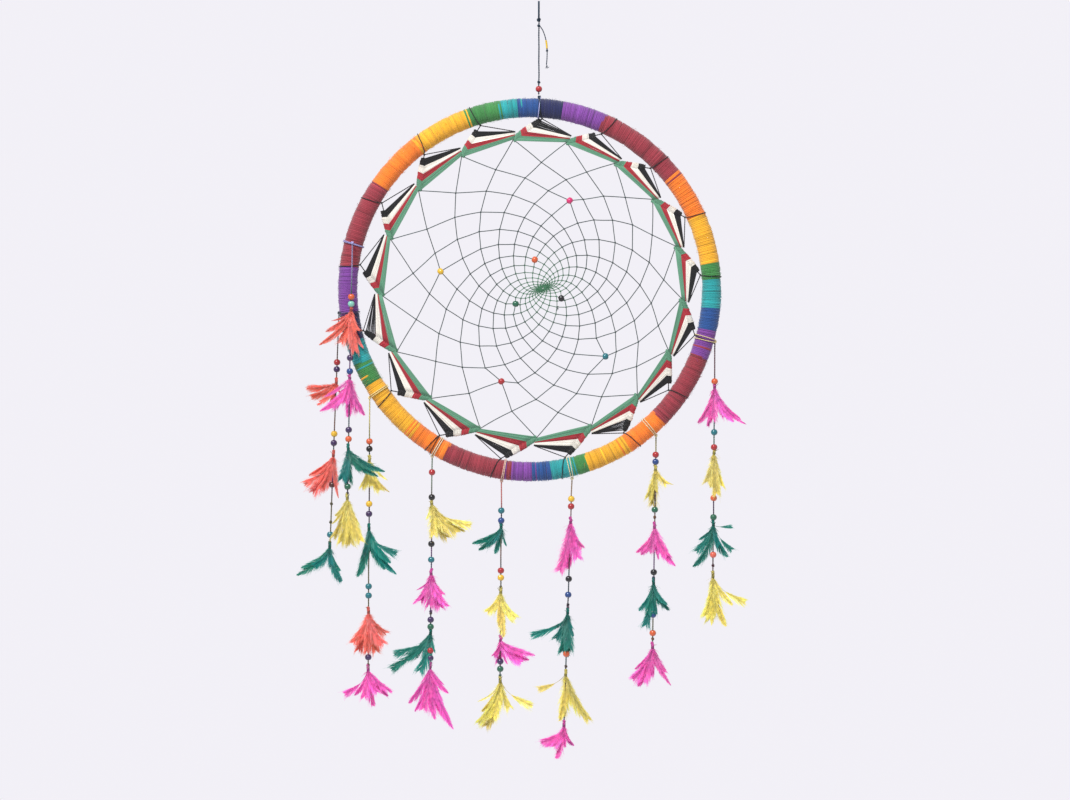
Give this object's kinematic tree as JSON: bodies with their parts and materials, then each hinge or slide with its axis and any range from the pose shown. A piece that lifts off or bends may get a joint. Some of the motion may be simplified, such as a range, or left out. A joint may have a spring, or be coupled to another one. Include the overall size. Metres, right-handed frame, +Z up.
{
  "type": "dream catcher",
  "caption": "Yarn-wrapped hoop with a wound border and a knotted thread web, hung from a loop, with strands of beads and dyed feather tufts below.",
  "frame": {"origin": "inside top face of the hanging loop, where it bears on a nail or a rail", "axes": "+Z up, the front faces -Y, +X to the right as seen from the front"},
  "size_m": [0.5401, 0.0394, 0.9107],
  "materials": {
    "hanger_cord": "two-strand cord, dark blue-green",
    "strand_cord": "thin mottled cord with painted wooden beads and knots",
    "cane": "bent cane, unfinished",
    "wrap_yarn": "wound wool yarn, dyed in long bands of blue, purple, maroon, orange, yellow, green and teal",
    "yarn_black": "wound yarn, matt",
    "yarn_white": "wound yarn, matt",
    "yarn_red": "wound yarn, matt",
    "yarn_green": "wound yarn, matt",
    "web_thread": "thin dark green thread",
    "bead_red": "gloss paint on wood",
    "bead_pink": "gloss paint on wood",
    "bead_yellow": "gloss paint on wood",
    "bead_orange": "gloss paint on wood",
    "bead_green": "gloss paint on wood",
    "bead_black": "gloss paint on wood",
    "bead_teal": "gloss paint on wood",
    "feather_coral": "dyed down feather, soft and ragged",
    "feather_pink": "dyed down feather, soft and ragged",
    "feather_teal": "dyed down feather, soft and ragged",
    "feather_yellow": "dyed down feather, soft and ragged"
  },
  "bodies": {
    "loop": {"hang_loop": "hanger_cord"},
    "hanger": {"hanger_cord": "hanger_cord"},
    "swivel": {"hanger_bead": "bead_red"},
    "hoop": {"hoop_core": "cane", "hoop_wrap": "wrap_yarn", "hoop_tie": "hanger_cord", "border_black_yarn": "yarn_black", "border_white_yarn": "yarn_white", "border_red_yarn": "yarn_red", "border_green_yarn": "yarn_green", "web_net": "web_thread"},
    "strand_1": {"strand_1_cord": "strand_cord", "strand_1_tuft_1": "feather_coral", "strand_1_tuft_2": "feather_coral"},
    "strand_1_foot": {"strand_1_tuft_3": "feather_teal"},
    "strand_2": {"strand_2_cord": "strand_cord", "strand_2_tuft_1": "feather_coral", "strand_2_tuft_2": "feather_pink", "strand_2_tuft_3": "feather_teal"},
    "strand_2_foot": {"strand_2_tuft_4": "feather_yellow"},
    "strand_3": {"strand_3_cord": "strand_cord", "strand_3_tuft_1": "feather_yellow", "strand_3_tuft_2": "feather_teal", "strand_3_tuft_3": "feather_coral"},
    "strand_3_foot": {"strand_3_tuft_4": "feather_pink"},
    "strand_4": {"strand_4_cord": "strand_cord", "strand_4_tuft_1": "feather_yellow", "strand_4_tuft_2": "feather_pink"},
    "strand_4_foot": {"strand_4_tail": "strand_cord", "strand_4_tuft_3": "feather_teal", "strand_4_tuft_4": "feather_pink"},
    "strand_5": {"strand_5_cord": "strand_cord", "strand_5_tuft_1": "feather_teal", "strand_5_tuft_2": "feather_yellow", "strand_5_tuft_3": "feather_pink"},
    "strand_5_foot": {"strand_5_tuft_4": "feather_yellow"},
    "strand_6": {"strand_6_cord": "strand_cord", "strand_6_tuft_1": "feather_pink"},
    "strand_6_foot": {"strand_6_tail": "strand_cord", "strand_6_tuft_2": "feather_teal", "strand_6_tuft_3": "feather_yellow", "strand_6_tuft_4": "feather_pink"},
    "strand_7": {"strand_7_cord": "strand_cord", "strand_7_tuft_1": "feather_yellow", "strand_7_tuft_2": "feather_pink"},
    "strand_7_foot": {"strand_7_tail": "strand_cord", "strand_7_tuft_3": "feather_teal", "strand_7_tuft_4": "feather_pink"},
    "strand_8": {"strand_8_cord": "strand_cord", "strand_8_tuft_1": "feather_pink", "strand_8_tuft_2": "feather_yellow", "strand_8_tuft_3": "feather_teal"},
    "strand_8_foot": {"strand_8_tuft_4": "feather_yellow"},
    "bead_pink": {"web_bead_pink": "bead_pink"},
    "bead_yellow": {"web_bead_yellow": "bead_yellow"},
    "bead_orange": {"web_bead_orange": "bead_orange"},
    "bead_green": {"web_bead_green": "bead_green"},
    "bead_black": {"web_bead_black": "bead_black"},
    "bead_teal": {"web_bead_teal": "bead_teal"},
    "bead_red": {"web_bead_red": "bead_red"}
  },
  "joints": [
    {"name": "hanger_swing", "type": "hinge", "parent": "loop", "child": "hanger", "pos_m": [0, 0, -0.02355], "axis": [0, 1, 0], "range_deg": [-20, 20], "stiffness_Nm_per_rad": 0.35, "springref_deg": 5.73},
    {"name": "hanger_twist", "type": "hinge", "parent": "hanger", "child": "swivel", "pos_m": [0, 0, -0.10375], "axis": [0, 0, 1], "range_deg": [-90, 90]},
    {"name": "hoop_nod", "type": "hinge", "parent": "swivel", "child": "hoop", "pos_m": [0, 0, -0.11015], "axis": [1, 0, 0], "range_deg": [-20, 20]},
    {"name": "strand_1_swing", "type": "hinge", "parent": "hoop", "child": "strand_1", "pos_m": [-0.24, 0.006, -0.37155], "axis": [1, 0, 0], "range_deg": [0, 25]},
    {"name": "strand_1_foot_swing", "type": "hinge", "parent": "strand_1", "child": "strand_1_foot", "pos_m": [-0.2512, 0.006, -0.65155], "axis": [1, 0, 0], "range_deg": [-25, 25]},
    {"name": "strand_2_swing", "type": "hinge", "parent": "hoop", "child": "strand_2", "pos_m": [-0.223, -0.0185, -0.28855], "axis": [1, 0, 0], "range_deg": [-30, 0]},
    {"name": "strand_2_foot_swing", "type": "hinge", "parent": "strand_2", "child": "strand_2_foot", "pos_m": [-0.22889, -0.0185, -0.59255], "axis": [1, 0, 0], "range_deg": [-25, 25]},
    {"name": "strand_3_swing", "type": "hinge", "parent": "hoop", "child": "strand_3", "pos_m": [-0.203, 0, -0.47355], "axis": [1, 0, 0], "range_deg": [-3, 25]},
    {"name": "strand_3_foot_swing", "type": "hinge", "parent": "strand_3", "child": "strand_3_foot", "pos_m": [-0.20475, 0, -0.79855], "axis": [1, 0, 0], "range_deg": [-25, 25]},
    {"name": "strand_4_swing", "type": "hinge", "parent": "hoop", "child": "strand_4", "pos_m": [-0.128, 0, -0.54405], "axis": [1, 0, 0], "range_deg": [-30, 30]},
    {"name": "strand_4_foot_sway", "type": "hinge", "parent": "strand_4", "child": "strand_4_foot", "pos_m": [-0.12972, 0, -0.73355], "axis": [0, 1, 0], "range_deg": [-10, 10]},
    {"name": "strand_5_swing", "type": "hinge", "parent": "hoop", "child": "strand_5", "pos_m": [-0.0448, 0, -0.57355], "axis": [1, 0, 0], "range_deg": [-30, 30]},
    {"name": "strand_5_foot_swing", "type": "hinge", "parent": "strand_5", "child": "strand_5_foot", "pos_m": [-0.04641, 0, -0.81255], "axis": [1, 0, 0], "range_deg": [-25, 25]},
    {"name": "strand_6_swing", "type": "hinge", "parent": "hoop", "child": "strand_6", "pos_m": [0.0398, 0, -0.57055], "axis": [1, 0, 0], "range_deg": [-30, 30]},
    {"name": "strand_6_foot_sway", "type": "hinge", "parent": "strand_6", "child": "strand_6_foot", "pos_m": [0.03472, 0, -0.72655], "axis": [0, 1, 0], "range_deg": [-10, 10]},
    {"name": "strand_7_swing", "type": "hinge", "parent": "hoop", "child": "strand_7", "pos_m": [0.1406, 0, -0.51905], "axis": [1, 0, 0], "range_deg": [-30, 30]},
    {"name": "strand_7_foot_sway", "type": "hinge", "parent": "strand_7", "child": "strand_7_foot", "pos_m": [0.13773, 0, -0.69305], "axis": [0, 1, 0], "range_deg": [-10, 10]},
    {"name": "strand_8_swing", "type": "hinge", "parent": "hoop", "child": "strand_8", "pos_m": [0.2114, 0, -0.40655], "axis": [1, 0, 0], "range_deg": [-30, 30]},
    {"name": "strand_8_foot_swing", "type": "hinge", "parent": "strand_8", "child": "strand_8_foot", "pos_m": [0.20896, 0, -0.68655], "axis": [1, 0, 0], "range_deg": [-25, 25]},
    {"name": "bead_pink_spin", "type": "hinge", "parent": "hoop", "child": "bead_pink", "pos_m": [0.037, 0, -0.23755], "axis": [0.6418, 0, -0.7669], "continuous": true},
    {"name": "bead_yellow_spin", "type": "hinge", "parent": "hoop", "child": "bead_yellow", "pos_m": [-0.118, 0, -0.32255], "axis": [0.6743, 0, 0.7384], "continuous": true},
    {"name": "bead_orange_spin", "type": "hinge", "parent": "hoop", "child": "bead_orange", "pos_m": [-0.00489, 0, -0.30855], "axis": [0.8584, 0, -0.5131], "continuous": true},
    {"name": "bead_green_spin", "type": "hinge", "parent": "hoop", "child": "bead_green", "pos_m": [-0.02786, 0, -0.36154], "axis": [0.0886, 0, 0.9961], "continuous": true},
    {"name": "bead_black_spin", "type": "hinge", "parent": "hoop", "child": "bead_black", "pos_m": [0.02701, 0, -0.35495], "axis": [-0.9165, 0, -0.4001], "continuous": true},
    {"name": "bead_teal_spin", "type": "hinge", "parent": "hoop", "child": "bead_teal", "pos_m": [0.08, 0, -0.42455], "axis": [-0.956, 0, -0.2934], "continuous": true},
    {"name": "bead_red_spin", "type": "hinge", "parent": "hoop", "child": "bead_red", "pos_m": [-0.045, 0, -0.45455], "axis": [-0.5189, 0, 0.8549], "continuous": true}
  ]
}
